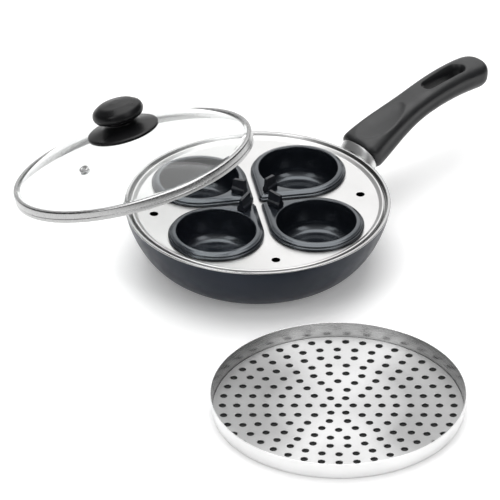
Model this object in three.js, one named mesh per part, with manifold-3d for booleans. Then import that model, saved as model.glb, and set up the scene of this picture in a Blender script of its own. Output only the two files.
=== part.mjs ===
// A four-cup egg poacher: a curved pan with a bolted handle, a poaching plate that carries four
// lift-out cups, a glass lid held up beside the pan, and a perforated steamer tray on the table.
// Millimetres, +Z up. The origin is the middle of the pan's base and +X runs along the handle.

import * as THREE from 'three';
import { mergeVertices } from 'three/addons/utils/BufferGeometryUtils.js';
import Module from 'manifold-3d';

const wasm = await Module();
wasm.setup();

// Pan body
const RIM_RADIUS = 103;
const PAN_HEIGHT = 48;
const BASE_RADIUS = 64;
const BASE_THICKNESS = 3.6;
const WALL = 2.8;
const LIP_WIDTH = 4.1;
const LIP_ROUND = 0.8;
const SEAT_DEPTH = 3.5;
const SEAT_WIDTH = 4.9;
const SIDE_FLARE = 1.33;
const SIDE_BELLY = 2.2;

// Poaching plate
const PLATE_THICKNESS = 1;
const PLATE_SIDE_PLAY = 0.9;
const PLATE_BEAD = 1.4;
const PLATE_TURN = 11;
const STEAM_HOLE_RADIUS = 3.3;
const STEAM_HOLE_MARGIN = 15.6;

// Egg cups and their grips
const CUP_COUNT = 4;
const CUP_EDGE_MARGIN = 4.3;
const CUP_SPACING = 4.23;
const CUP_BEND = 9;
const CUP_DEPTH = 27;
const CUP_WALL = 1.2;
const CUP_HOLE_PLAY = 0.8;
const FLANGE_WIDTH = 6.5;
const FLANGE_HEIGHT = 4.6;
const FLANGE_STEP = 0.9;
const FLANGE_STEP_HEIGHT = 1.7;
const TIP_RADIUS = 4;
const TIP_HALF_ANGLE = 45;
const GRIP_BOWL_MARGIN = 2.6;
const GRIP_LENGTH = 11;
const GRIP_FOOT_WIDTH = 7;
const GRIP_FOOT_TAPER = 1.4;
const GRIP_FOOT_HEIGHT = 3.6;
const GRIP_TAB_WIDTH = 3.6;
const GRIP_EDGE_WIDTH = 2.2;
const GRIP_HEIGHT = 11.8;
const GRIP_TOP_RISE = 1.6;
const GRIP_EASE = 0.7;
const RIVET_RADIUS = 1.6;
const RIVET_HEAD_RADIUS = 2.8;
const RIVET_HEAD_HEIGHT = 0.9;
const RIVET_REACH = 2.8;

// Handle, ferrule, stud and bolt
const ROOT_DROP = 10;
const ROOT_SLOPE = 23;
const FERRULE_LENGTH = 12;
const FERRULE_WIDTH = 35.5;
const FERRULE_HEIGHT = 26.5;
const FERRULE_TAPER = 1.2;
const FERRULE_DIP = 11.2;
const FERRULE_WALL = 1.6;
const FERRULE_SQUARENESS = 2.3;
const STUD_RADIUS = 6.5;
const STUD_REACH = 6;
const BOLT_RADIUS = 2.5;
const BOLT_HEAD_RADIUS = 4.4;
const BOLT_HEAD_HEIGHT = 3.6;
const BOLT_ENGAGED = 11;
const BOLT_RECESS = 5;
const HANDLE_LENGTH = 131.5;
const HANDLE_END_LIFT = 20.6;
const HANDLE_LEVEL_OFF = 9;
const HANDLE_BUTT_WIDTH = 39;
const HANDLE_BUTT_HEIGHT = 28.5;
const HANDLE_WAIST_WIDTH = 28;
const HANDLE_WAIST_HEIGHT = 20.5;
const HANDLE_END_WIDTH = 31.2;
const HANDLE_END_HEIGHT = 22;
const HANDLE_END_ROUND = 11.5;
const HANDLE_SHOULDER = 5;
const HANDLE_SHOULDER_DROP = 0.09;
const HANDLE_TIP_BLUNT = 0.22;
const HANDLE_TIP_HEIGHT_KEPT = 0.25;
const HANDLE_NOSE_LIFT = 0.8;
const HANDLE_ROOT_PULL = 0.28;
const HANDLE_END_PULL = 0.4;
const HANDLE_WAIST_AT = 0.52;
const HANDLE_SQUARENESS = 3;
const SLOT_WIDTH = 10;
const SLOT_LENGTH = 41;
const SLOT_END_MARGIN = 20.5;

// Lid
const LID_PLAY = 4.3;
const LID_BAND_HEIGHT = 8.6;
const LID_BAND_WALL = 0.8;
const LID_BAND_GRIP = 3.4;
const GLASS_THICKNESS = 2.6;
const DOME_RISE = 26.6;
const KNOB_SKIRT_RADIUS = 27.8;
const KNOB_SKIRT_EDGE = 2.4;
const KNOB_NECK_RADIUS = 10.5;
const KNOB_HEAD_RADIUS = 20.2;
const KNOB_HEIGHT = 22;
const KNOB_HEAD_THICKNESS = 13;
const KNOB_EDGE_ROUND = 1;
const KNOB_SKIRT_RISE = 3.4;
const KNOB_NECK_FLARE = 5;
const KNOB_NECK_FILLET = 3;
const KNOB_HEAD_ROUND = 2;
const KNOB_BROW_AT = 0.36;
const KNOB_BROW_TOP_AT = 0.62;
const KNOB_SCREW_RADIUS = 2.2;
const KNOB_INSERT_RADIUS = 4.6;
const KNOB_INSERT_LENGTH = 8;
const KNOB_SEAL_RADIUS = 9;
const KNOB_SEAL_THICKNESS = 1;
const KNOB_WASHER_RADIUS = 8;
const KNOB_WASHER_THICKNESS = 1.2;
const SCREW_HEAD_HEIGHT = 2.2;
const VENT_CIRCLE = 53.5;
const VENT_TURN = 90.5;
const VENT_BORE = 1.6;
const VENT_RADIUS = 3.8;
const VENT_WALL = 0.8;
const VENT_COLLAR = 0.9;
const LID_LEFT = 93.95;
const LID_IN_FRONT = 35.4;
const LID_LIFT = 51.2;
const LID_TILT = 18.8;
const LID_LEAN = 144;

// Steamer tray
const TRAY_PLAY = 3.7;
const TRAY_HEIGHT = 13.6;
const TRAY_FLARE = 1.4;
const TRAY_SHEET = 0.8;
const TRAY_FLANGE = 4;
const TRAY_HOLE_RADIUS = 2.8;
const TRAY_HOLE_MARGIN = 7.2;
const TRAY_RING_STEP = 10.85;
const TRAY_HOLE_PITCH = 13.02;
const TRAY_RIGHT = 60.7;
const TRAY_IN_FRONT = 214.5;

// Shared values: the turn between the handle and the scene's sideways direction, and clearances
const HANDLE_TURN = 44;
const SEAT_GAP = 0.3;
const BORE_PLAY = 0.4;
const OVERCUT = 1;

const ROUND = { large: 36, cup: 20, oval: 18, medium: 16, small: 10, hole: 6 };
const RADIANS = Math.PI / 180;

// Worked-out levels and radii
const seatLevel = PAN_HEIGHT - SEAT_DEPTH;
const lipInner = RIM_RADIUS - LIP_WIDTH;
const seatInner = lipInner - SEAT_WIDTH;
const plateRadius = lipInner - PLATE_SIDE_PLAY;
const plateBottom = seatLevel;
const plateTop = plateBottom + PLATE_THICKNESS;
const flangeBottom = plateTop + SEAT_GAP;
const flangeTop = flangeBottom + FLANGE_HEIGHT;
const beadMiddle = plateRadius - PLATE_BEAD;
const lidRadius = lipInner - LID_PLAY;
const trayRadius = lipInner - TRAY_PLAY;

// The cups are as large as the plate lets them be, side by side in a ring
const cupReach = beadMiddle - CUP_EDGE_MARGIN;
const cupSine = Math.sin(Math.PI / CUP_COUNT);
const flangeRadius = (cupReach * cupSine - CUP_SPACING / 2) / (1 + cupSine);
const cupCircle = cupReach - flangeRadius;
const cupOpening = flangeRadius - FLANGE_WIDTH;
const gripOuter = cupCircle - cupOpening - GRIP_BOWL_MARGIN;
const gripCentre = gripOuter - GRIP_LENGTH / 2;

// Helpers: points, revolved and extruded forms, lofts and solids
const at = (x, y) => new THREE.Vector2(x, y);

function revolve(profile, segments) {
  return new THREE.LatheGeometry(profile, segments).rotateX(Math.PI / 2);
}

function ring(inner, outer, bottom, top, segments) {
  const profile = [at(inner, bottom), at(outer, bottom), at(outer, top), at(inner, top), at(inner, bottom)];
  return revolve(profile, segments);
}

function rod(radius, bottom, top, segments) {
  return revolve([at(0, bottom), at(radius, bottom), at(radius, top), at(0, top)], segments);
}

function circlePoints(x, y, radius, count, turn = 0) {
  const points = [];
  for (let i = 0; i < count; i += 1) {
    const angle = turn + (2 * Math.PI * i) / count;
    points.push(at(x + radius * Math.cos(angle), y + radius * Math.sin(angle)));
  }
  return points;
}

function slab(outline, holes, bottom, top) {
  const shape = new THREE.Shape(outline);
  shape.holes = holes.map((points) => new THREE.Path(points));
  const options = { depth: top - bottom, bevelEnabled: false };
  return new THREE.ExtrudeGeometry(shape, options).translate(0, 0, bottom);
}

function loft(sections) {
  const count = sections[0].length;
  const positions = sections.flat().flatMap((p) => [p.x, p.y, p.z]);
  const index = [];
  for (let s = 0; s + 1 < sections.length; s += 1) {
    for (let i = 0; i < count; i += 1) {
      const a = s * count + i;
      const b = s * count + ((i + 1) % count);
      index.push(a, b, b + count, a, b + count, a + count);
    }
  }
  const last = (sections.length - 1) * count;
  for (let i = 1; i + 1 < count; i += 1) {
    index.push(0, i + 1, i);
    index.push(last, last + i, last + i + 1);
  }
  const geometry = new THREE.BufferGeometry();
  geometry.setAttribute('position', new THREE.Float32BufferAttribute(positions, 3));
  geometry.setIndex(index);
  return geometry;
}

function solid(geometry) {
  const bare = geometry.clone();
  bare.deleteAttribute('normal');
  bare.deleteAttribute('uv');
  const merged = mergeVertices(bare, 1e-4);
  const source = merged.index.array;
  const triVerts = [];
  for (let i = 0; i < source.length; i += 3) {
    const [a, b, c] = [source[i], source[i + 1], source[i + 2]];
    if (a !== b && b !== c && c !== a) triVerts.push(a, b, c);
  }
  const mesh = new wasm.Mesh({
    numProp: 3,
    vertProperties: new Float32Array(merged.attributes.position.array),
    triVerts: new Uint32Array(triVerts),
  });
  return new wasm.Manifold(mesh);
}

function geometryOf(manifold) {
  const mesh = manifold.getMesh();
  const geometry = new THREE.BufferGeometry();
  geometry.setAttribute('position', new THREE.Float32BufferAttribute(mesh.vertProperties, 3));
  geometry.setIndex(new THREE.Uint32BufferAttribute(mesh.triVerts, 1));
  return geometry;
}

// Materials
function finish(color, roughness, metalness) {
  return new THREE.MeshStandardMaterial({ color, roughness, metalness });
}

const bodyCoating = finish('#34383f', 0.45, 0.2);
const brightSteel = finish('#d9dadb', 0.22, 1);
const platedSteel = finish('#b9bcc0', 0.35, 1);
const nonStick = finish('#2a2c30', 0.35, 0.1);
const gripPlastic = finish('#17181b', 0.6, 0);
const handlePlastic = finish('#303236', 0.5, 0);
const knobPlastic = finish('#1b1c1e', 0.4, 0);
const clearGlass = finish('#dfe6e6', 0.05, 0);
const rubber = finish('#e7e5e0', 0.7, 0);
const brass = finish('#b08d4c', 0.35, 1);

const part = new THREE.Group();

function piece(parent, name, geometry, material) {
  const mesh = new THREE.Mesh(geometry, material);
  mesh.name = name;
  parent.add(mesh);
  return mesh;
}

// Pan: the side is a full, slightly flared curve that leaves the base level and meets the lip
function sideRadius(height, grow = 0) {
  const share = THREE.MathUtils.clamp(height / PAN_HEIGHT, 0, 1);
  const bulge = (1 - (1 - share) ** SIDE_FLARE) ** (1 / SIDE_BELLY);
  return BASE_RADIUS + (RIM_RADIUS - BASE_RADIUS) * bulge + grow;
}

const SIDE_SHARES = [0, 0.02, 0.1, 0.26, 0.5, 0.76];

function panOutside(grow) {
  return SIDE_SHARES.map((share) => at(sideRadius(share * PAN_HEIGHT, grow), share * PAN_HEIGHT));
}

function panBody() {
  const outside = panOutside(0);
  const lip = [
    at(RIM_RADIUS, PAN_HEIGHT - LIP_ROUND),
    at(RIM_RADIUS - LIP_ROUND, PAN_HEIGHT),
    at(lipInner, PAN_HEIGHT),
    at(lipInner, seatLevel),
    at(seatInner, seatLevel),
  ];
  const inside = SIDE_SHARES.slice(1, -1)
    .map((share) => share * PAN_HEIGHT + BASE_THICKNESS)
    .map((height) => at(Math.min(seatInner, sideRadius(height - BASE_THICKNESS / 2) - WALL), height))
    .reverse();
  const floor = [at(BASE_RADIUS - WALL, BASE_THICKNESS), at(0, BASE_THICKNESS)];
  return revolve([at(0, 0), ...outside, ...lip, ...inside, ...floor], ROUND.large);
}

piece(part, 'pan_body', panBody(), bodyCoating);

// Everything that meets the outside of the pan is cut back by this slightly larger form
function panEnvelope() {
  const top = PAN_HEIGHT + LIP_WIDTH;
  const outside = panOutside(SEAT_GAP);
  const rim = [at(RIM_RADIUS + SEAT_GAP, PAN_HEIGHT), at(RIM_RADIUS + SEAT_GAP, top), at(0, top)];
  return solid(revolve([at(0, 0), ...outside, ...rim], ROUND.large));
}

// Handle: one straight axis carries the stud, the ferrule and the bolt, and the grip curves off it
const rootHeight = PAN_HEIGHT - ROOT_DROP;
const rootRadius = sideRadius(rootHeight);
const rootDirection = new THREE.Vector3(Math.cos(ROOT_SLOPE * RADIANS), 0, Math.sin(ROOT_SLOPE * RADIANS));
const rootPoint = new THREE.Vector3(rootRadius, 0, rootHeight);
const alongRoot = (distance) => rootPoint.clone().addScaledVector(rootDirection, distance);

// A form revolved about Z is laid along a direction, with its own origin at the given point
function layAlong(geometry, point, direction) {
  const turn = new THREE.Quaternion().setFromUnitVectors(new THREE.Vector3(0, 0, 1), direction);
  return geometry.applyQuaternion(turn).translate(point.x, point.y, point.z);
}

const layOnRoot = (geometry, distance) => layAlong(geometry, alongRoot(distance), rootDirection);

// One cross-section: a rounded oval, flatter above than below, square to the given direction
function ovalSection(centre, direction, width, height, count, flatness) {
  const upward = new THREE.Vector3(-direction.z, 0, direction.x);
  const points = [];
  for (let i = 0; i < count; i += 1) {
    const angle = (2 * Math.PI * (i + 0.5)) / count;
    const [c, s] = [Math.cos(angle), Math.sin(angle)];
    const power = s > 0 ? 2 / flatness : 1;
    const across = Math.sign(c) * Math.abs(c) ** power * (width / 2);
    const up = Math.sign(s) * Math.abs(s) ** power * (height / 2);
    points.push(centre.clone().addScaledVector(upward, up).add(new THREE.Vector3(0, across, 0)));
  }
  return points;
}

const ferruleStart = -FERRULE_LENGTH;
const handleStart = FERRULE_LENGTH + SEAT_GAP;
const handleRoot = alongRoot(handleStart);

function handlePoint(share, lift) {
  return handleRoot.clone().add(new THREE.Vector3(share * HANDLE_LENGTH, 0, lift));
}

const handleLine = new THREE.CubicBezierCurve3(
  handleRoot,
  alongRoot(handleStart + HANDLE_LENGTH * HANDLE_ROOT_PULL),
  handlePoint(1 - HANDLE_END_PULL, HANDLE_END_LIFT + HANDLE_LEVEL_OFF),
  handlePoint(1, HANDLE_END_LIFT),
);

// The bolt runs straight from the stud to the near end of the hanging slot
const slotEnd = handleRoot.x + HANDLE_LENGTH - SLOT_END_MARGIN;
const slotStart = slotEnd - SLOT_LENGTH;
const studEnd = alongRoot(FERRULE_LENGTH + STUD_REACH);
const boltAim = handleLine.getPoint((slotStart - handleRoot.x) / HANDLE_LENGTH);
const boltDirection = boltAim.clone().sub(studEnd).normalize();
const boltHeadStart = studEnd.distanceTo(boltAim) - BOLT_HEAD_HEIGHT - BOLT_RECESS;
const layOnBolt = (geometry) => layAlong(geometry, studEnd, boltDirection);

function handleStud() {
  const shank = layOnRoot(rod(STUD_RADIUS, ferruleStart, FERRULE_LENGTH + STUD_REACH, ROUND.medium), 0);
  const bore = layOnBolt(rod(BOLT_RADIUS + BORE_PLAY, -BOLT_ENGAGED - SEAT_GAP, STUD_REACH, ROUND.small));
  return geometryOf(solid(shank).subtract(solid(bore)).subtract(panEnvelope()));
}

// The ferrule's top falls away towards the pan, so that it goes in under the lip
function ferrule() {
  const upward = new THREE.Vector3(-rootDirection.z, 0, rootDirection.x);
  const oval = (distance, inset) => {
    const share = (FERRULE_LENGTH - distance) / (FERRULE_LENGTH - ferruleStart);
    const dip = FERRULE_DIP * share;
    const grow = 2 * FERRULE_TAPER * share - 2 * inset;
    const centre = alongRoot(distance).addScaledVector(upward, -dip / 2);
    const size = [FERRULE_WIDTH + grow, FERRULE_HEIGHT - dip + grow];
    return ovalSection(centre, rootDirection, ...size, ROUND.oval, FERRULE_SQUARENESS);
  };
  const outer = loft([oval(ferruleStart, 0), oval(FERRULE_LENGTH, 0)]);
  const inner = loft([
    oval(ferruleStart - OVERCUT, FERRULE_WALL), oval(FERRULE_LENGTH - FERRULE_WALL, FERRULE_WALL),
  ]);
  const studHole = layOnRoot(rod(STUD_RADIUS + BORE_PLAY, 0, FERRULE_LENGTH * 2, ROUND.medium), 0);
  const shell = solid(outer).subtract(solid(inner));
  return geometryOf(shell.subtract(solid(studHole)).subtract(panEnvelope()));
}

function handleSize(share, butt, waist, end) {
  const [from, to, step] = share < HANDLE_WAIST_AT
    ? [butt, waist, share / HANDLE_WAIST_AT]
    : [waist, end, (share - HANDLE_WAIST_AT) / (1 - HANDLE_WAIST_AT)];
  return from + (to - from) * THREE.MathUtils.smoothstep(step, 0, 1);
}

function handleSection(share) {
  const span = share * HANDLE_LENGTH;
  const tip = Math.max(0, 1 - (HANDLE_LENGTH - span) / HANDLE_END_ROUND);
  const shoulder = Math.max(0, 1 - span / HANDLE_SHOULDER);
  const blunted = Math.cbrt(1 - (1 - HANDLE_TIP_BLUNT ** 3) * tip ** 3);
  const rounding = blunted * (1 - HANDLE_SHOULDER_DROP * shoulder ** 2);
  const flattening = HANDLE_TIP_HEIGHT_KEPT + (1 - HANDLE_TIP_HEIGHT_KEPT) * rounding;
  const width = handleSize(share, HANDLE_BUTT_WIDTH, HANDLE_WAIST_WIDTH, HANDLE_END_WIDTH);
  const height = handleSize(share, HANDLE_BUTT_HEIGHT, HANDLE_WAIST_HEIGHT, HANDLE_END_HEIGHT);
  const nose = ((1 - blunted) * (1 - HANDLE_TIP_HEIGHT_KEPT) * HANDLE_NOSE_LIFT * height) / 2;
  const centre = handleLine.getPoint(share);
  centre.z += nose;
  return ovalSection(
    centre, handleLine.getTangent(share),
    width * rounding, height * flattening, ROUND.medium, HANDLE_SQUARENESS,
  );
}

const HANDLE_SHARES = [0, 0.015, 0.04, 0.14, 0.26, 0.38, 0.5, 0.62, 0.74, 0.86, 0.93, 0.965, 0.987, 1];

// A long hole with round ends along X, from one end to the other
function slotOutline(start, end, width) {
  const steps = ROUND.medium / 2;
  const half = width / 2;
  const points = [];
  for (const [middle, turn] of [[end - half, -Math.PI / 2], [start + half, Math.PI / 2]]) {
    for (let i = 0; i <= steps; i += 1) {
      const angle = turn + (Math.PI * i) / steps;
      points.push(at(middle + half * Math.cos(angle), half * Math.sin(angle)));
    }
  }
  return points;
}

function handle() {
  const grip = solid(loft(HANDLE_SHARES.map(handleSection)));
  const slot = slab(slotOutline(slotStart, slotEnd, SLOT_WIDTH), [], 0, PAN_HEIGHT + HANDLE_LENGTH);
  const socketEnd = FERRULE_LENGTH + STUD_REACH + SEAT_GAP;
  const socket = layOnRoot(rod(STUD_RADIUS + BORE_PLAY, 0, socketEnd, ROUND.medium), 0);
  const bore = layOnBolt(rod(BOLT_RADIUS + BORE_PLAY, 0, boltHeadStart, ROUND.small));
  const recessStart = boltHeadStart - SEAT_GAP;
  const recessEnd = boltHeadStart + BOLT_HEAD_HEIGHT + BOLT_RECESS + SLOT_WIDTH / 2;
  const recess = layOnBolt(rod(BOLT_HEAD_RADIUS + BORE_PLAY, recessStart, recessEnd, ROUND.small));
  const cuts = [slot, socket, bore, recess];
  return geometryOf(cuts.reduce((body, cut) => body.subtract(solid(cut)), grip));
}

function handleBolt() {
  const tip = -BOLT_ENGAGED;
  const top = boltHeadStart + BOLT_HEAD_HEIGHT;
  const profile = [
    at(0, tip), at(BOLT_RADIUS, tip), at(BOLT_RADIUS, boltHeadStart),
    at(BOLT_HEAD_RADIUS, boltHeadStart), at(BOLT_HEAD_RADIUS, top), at(0, top),
  ];
  return layOnBolt(revolve(profile, ROUND.small));
}

piece(part, 'handle_stud', handleStud(), platedSteel);
piece(part, 'ferrule', ferrule(), brightSteel);
piece(part, 'handle', handle(), handlePlastic);
piece(part, 'handle_bolt', handleBolt(), platedSteel);

// Poaching plate: a disc with a rolled edge, four cup holes and four steam holes
const cupAngle = (i) => (PLATE_TURN + (360 / CUP_COUNT) * i) * RADIANS;
const cupHoleRadius = cupOpening + CUP_WALL + CUP_HOLE_PLAY;

function insertPlate() {
  const holes = [];
  for (let i = 0; i < CUP_COUNT; i += 1) {
    const cup = cupAngle(i);
    const steam = cup + Math.PI / CUP_COUNT;
    const cupX = cupCircle * Math.cos(cup);
    const cupY = cupCircle * Math.sin(cup);
    holes.push(circlePoints(cupX, cupY, cupHoleRadius, ROUND.cup));
    const steamCircle = beadMiddle - STEAM_HOLE_MARGIN;
    const steamX = steamCircle * Math.cos(steam);
    const steamY = steamCircle * Math.sin(steam);
    holes.push(circlePoints(steamX, steamY, STEAM_HOLE_RADIUS, ROUND.small));
  }
  const disc = slab(circlePoints(0, 0, beadMiddle, ROUND.large), holes, plateBottom, plateTop);
  const beadTurn = Math.PI / ROUND.hole;
  const bead = circlePoints(beadMiddle, plateBottom + PLATE_BEAD, PLATE_BEAD, ROUND.hole, beadTurn);
  const edge = revolve([...bead, bead[0]], ROUND.large);
  return geometryOf(solid(disc).add(solid(edge)));
}

piece(part, 'insert_plate', insertPlate(), brightSteel);

// Egg cups: a teardrop flange with a stepped skirt, and a bowl hanging through the plate.
// Each is drawn with the pan's centre at the origin and the cup out along +X.
const tipDistance = (flangeRadius - TIP_RADIUS) / Math.sin(TIP_HALF_ANGLE * RADIANS);
const tipCentre = cupCircle - tipDistance;

function teardrop(inset) {
  const lean = (90 - TIP_HALF_ANGLE) * RADIANS;
  const points = [];
  const wide = Math.PI - lean;
  const steps = ROUND.oval;
  for (let i = 0; i <= steps; i += 1) {
    const angle = -wide + (2 * wide * i) / steps;
    const radius = flangeRadius - inset;
    points.push(at(cupCircle + radius * Math.cos(angle), radius * Math.sin(angle)));
  }
  const tipSteps = 3;
  for (let i = 0; i <= tipSteps; i += 1) {
    const angle = wide + (2 * lean * i) / tipSteps;
    const radius = TIP_RADIUS - inset;
    points.push(at(tipCentre + radius * Math.cos(angle), radius * Math.sin(angle)));
  }
  return points;
}

const BEND_SHARES = [0, 1 / 3, 2 / 3, 1];

function eggCup() {
  const crown = slab(teardrop(FLANGE_STEP), [], flangeBottom, flangeTop);
  const skirt = slab(teardrop(0), [], flangeBottom, flangeBottom + FLANGE_STEP_HEIGHT);
  const under = slab(teardrop(FLANGE_STEP + CUP_WALL), [], flangeBottom - OVERCUT, flangeTop - CUP_WALL);
  const bowlBottom = flangeTop - CUP_DEPTH;
  const floorRadius = cupOpening - CUP_BEND;
  const wallCurve = (grow) => BEND_SHARES.map((share) => at(
    floorRadius + (CUP_BEND + grow) * Math.sin(share * Math.PI / 2),
    bowlBottom + CUP_BEND - (CUP_BEND + grow) * Math.cos(share * Math.PI / 2),
  ));
  const bowlForm = (grow, top) => solid(revolve([
    at(0, bowlBottom - grow), ...wallCurve(grow), at(cupOpening + grow, top), at(0, top),
  ], ROUND.cup).translate(cupCircle, 0, 0));
  const bowl = bowlForm(CUP_WALL, flangeTop - CUP_WALL / 2);
  const hollow = bowlForm(0, flangeTop + OVERCUT);
  const rivetShaft = rod(RIVET_RADIUS + SEAT_GAP, flangeBottom, flangeTop + OVERCUT, ROUND.small);
  const rivetHole = solid(rivetShaft.translate(gripCentre, 0, 0));
  const flange = solid(crown).add(solid(skirt)).subtract(solid(under));
  return geometryOf(flange.add(bowl).subtract(hollow).subtract(rivetHole));
}

// Grip: a thin upright tab on a tapered foot, with a top that rises towards the pan's centre
function cupGrip() {
  const bottom = flangeTop + SEAT_GAP;
  const outer = gripOuter;
  const inner = gripOuter - GRIP_LENGTH;
  const foot = bottom + GRIP_FOOT_HEIGHT;
  const top = bottom + GRIP_HEIGHT;
  const half = GRIP_FOOT_WIDTH / 2;
  const rightSide = [
    at(half, bottom), at(half, foot - GRIP_EASE), at(half - GRIP_EASE, foot),
    at(GRIP_TAB_WIDTH / 2, foot + GRIP_EASE), at(GRIP_EDGE_WIDTH / 2, top),
  ];
  const leftSide = rightSide.map((point) => at(-point.x, point.y)).reverse();
  const along = new THREE.Matrix4().makeBasis(
    new THREE.Vector3(0, 1, 0), new THREE.Vector3(0, 0, 1), new THREE.Vector3(1, 0, 0),
  );
  const body = slab([...rightSide, ...leftSide], [], inner, outer).applyMatrix4(along);
  const side = [
    at(inner, bottom - OVERCUT), at(outer, bottom - OVERCUT), at(outer, top - GRIP_TOP_RISE - GRIP_EASE),
    at(outer - GRIP_EASE, top - GRIP_TOP_RISE), at(inner + GRIP_EASE, top), at(inner, top - GRIP_EASE),
  ];
  const across = new THREE.Matrix4().makeBasis(
    new THREE.Vector3(1, 0, 0), new THREE.Vector3(0, 0, 1), new THREE.Vector3(0, -1, 0),
  );
  const sideForm = slab(side, [], -GRIP_FOOT_WIDTH, GRIP_FOOT_WIDTH).applyMatrix4(across);
  const narrow = half - GRIP_FOOT_TAPER / 2;
  const plan = slab([
    at(inner, -narrow), at(outer, -half), at(outer, half), at(inner, narrow),
  ], [], bottom - OVERCUT, top + OVERCUT);
  const boreTop = bottom + RIVET_REACH + SEAT_GAP;
  const bore = rod(RIVET_RADIUS + SEAT_GAP, bottom - OVERCUT, boreTop, ROUND.small);
  const tab = solid(body).intersect(solid(sideForm)).intersect(solid(plan));
  return geometryOf(tab.subtract(solid(bore.translate(gripCentre, 0, 0))));
}

function gripRivet() {
  const seat = flangeTop - CUP_WALL - SEAT_GAP;
  const end = flangeTop + SEAT_GAP + RIVET_REACH;
  const profile = [
    at(0, seat - RIVET_HEAD_HEIGHT), at(RIVET_HEAD_RADIUS, seat - RIVET_HEAD_HEIGHT),
    at(RIVET_HEAD_RADIUS, seat), at(RIVET_RADIUS, seat), at(RIVET_RADIUS, end), at(0, end),
  ];
  return revolve(profile, ROUND.small).translate(gripCentre, 0, 0);
}

for (let i = 0; i < CUP_COUNT; i += 1) {
  const cup = new THREE.Group();
  cup.rotation.z = cupAngle(i);
  piece(cup, `egg_cup_${i + 1}`, eggCup(), nonStick);
  piece(cup, `cup_grip_${i + 1}`, cupGrip(), gripPlastic);
  piece(cup, `grip_rivet_${i + 1}`, gripRivet(), platedSteel);
  part.add(cup);
}

// Lid: drawn level with the band's lower edge at zero, then tilted and held beside the pan
const lid = new THREE.Group();
const lidTurn = (LID_LEAN - HANDLE_TURN) * RADIANS;
const upright = new THREE.Vector3(0, 0, 1);
const sideways = new THREE.Vector3(1, 0, 0).applyAxisAngle(upright, -HANDLE_TURN * RADIANS);
const away = new THREE.Vector3(0, 1, 0).applyAxisAngle(upright, -HANDLE_TURN * RADIANS);
lid.rotation.order = 'ZYX';
lid.rotation.set(0, LID_TILT * RADIANS, lidTurn);
lid.position.copy(sideways).multiplyScalar(-LID_LEFT).addScaledVector(away, -LID_IN_FRONT);
lid.position.z = PAN_HEIGHT + LID_LIFT;
part.add(lid);

const glassEdge = lidRadius - LID_BAND_WALL - SEAT_GAP;
const glassBottom = LID_BAND_HEIGHT - LID_BAND_WALL - SEAT_GAP - GLASS_THICKNESS;
const domeFoot = lidRadius - LID_BAND_GRIP - SEAT_GAP;
const domeRadius = (domeFoot ** 2 + DOME_RISE ** 2) / (2 * DOME_RISE);
const apex = glassBottom + GLASS_THICKNESS + DOME_RISE;
const domeDrop = (radius) => domeRadius - Math.sqrt(domeRadius ** 2 - radius ** 2);
const domeTop = (radius) => apex - domeDrop(radius);
const screwHole = KNOB_SCREW_RADIUS + BORE_PLAY;

// The vent stands square to the glass, so its origin is put on the dome and leaned outwards
function seatVent(geometry) {
  const lean = Math.asin(VENT_CIRCLE / domeRadius);
  return geometry.rotateY(lean).translate(VENT_CIRCLE, 0, domeTop(VENT_CIRCLE)).rotateZ(VENT_TURN * RADIANS);
}

function lidGlass() {
  const stations = [KNOB_SEAL_RADIUS, ...[0.3, 0.55, 0.78, 1].map((share) => share * domeFoot)];
  const over = [...stations].reverse().map((radius) => at(radius, domeTop(radius)));
  const under = stations.map((radius) => at(radius, domeTop(radius) - GLASS_THICKNESS));
  const edge = [at(glassEdge, glassBottom), at(glassEdge, glassBottom + GLASS_THICKNESS)];
  const hole = [at(screwHole, domeTop(screwHole)), at(screwHole, domeTop(screwHole) - GLASS_THICKNESS)];
  const profile = [...edge, ...over, ...hole, ...under, edge[0]];
  const vent = rod(VENT_BORE + VENT_WALL + SEAT_GAP, -2 * GLASS_THICKNESS, GLASS_THICKNESS, ROUND.small);
  return geometryOf(solid(revolve(profile, ROUND.large)).subtract(solid(seatVent(vent))));
}

function lidBand() {
  const inner = lidRadius - LID_BAND_GRIP;
  const wallInner = lidRadius - LID_BAND_WALL;
  const under = glassBottom - SEAT_GAP;
  const over = glassBottom + GLASS_THICKNESS + SEAT_GAP;
  const ledge = under - LID_BAND_WALL;
  const profile = [
    at(wallInner, 0), at(lidRadius, 0), at(lidRadius, LID_BAND_HEIGHT), at(inner, LID_BAND_HEIGHT),
    at(inner, over), at(wallInner, over), at(wallInner, under), at(inner, under),
    at(inner, ledge), at(wallInner, ledge), at(wallInner, 0),
  ];
  return revolve(profile, ROUND.large);
}

const sealBottom = apex + SEAT_GAP;
const knobBase = sealBottom + KNOB_SEAL_THICKNESS + SEAT_GAP;
const insertTop = knobBase + KNOB_INSERT_LENGTH;
const washerTop = domeTop(KNOB_WASHER_RADIUS) - GLASS_THICKNESS - SEAT_GAP;
const washerBottom = washerTop - KNOB_WASHER_THICKNESS;

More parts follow.
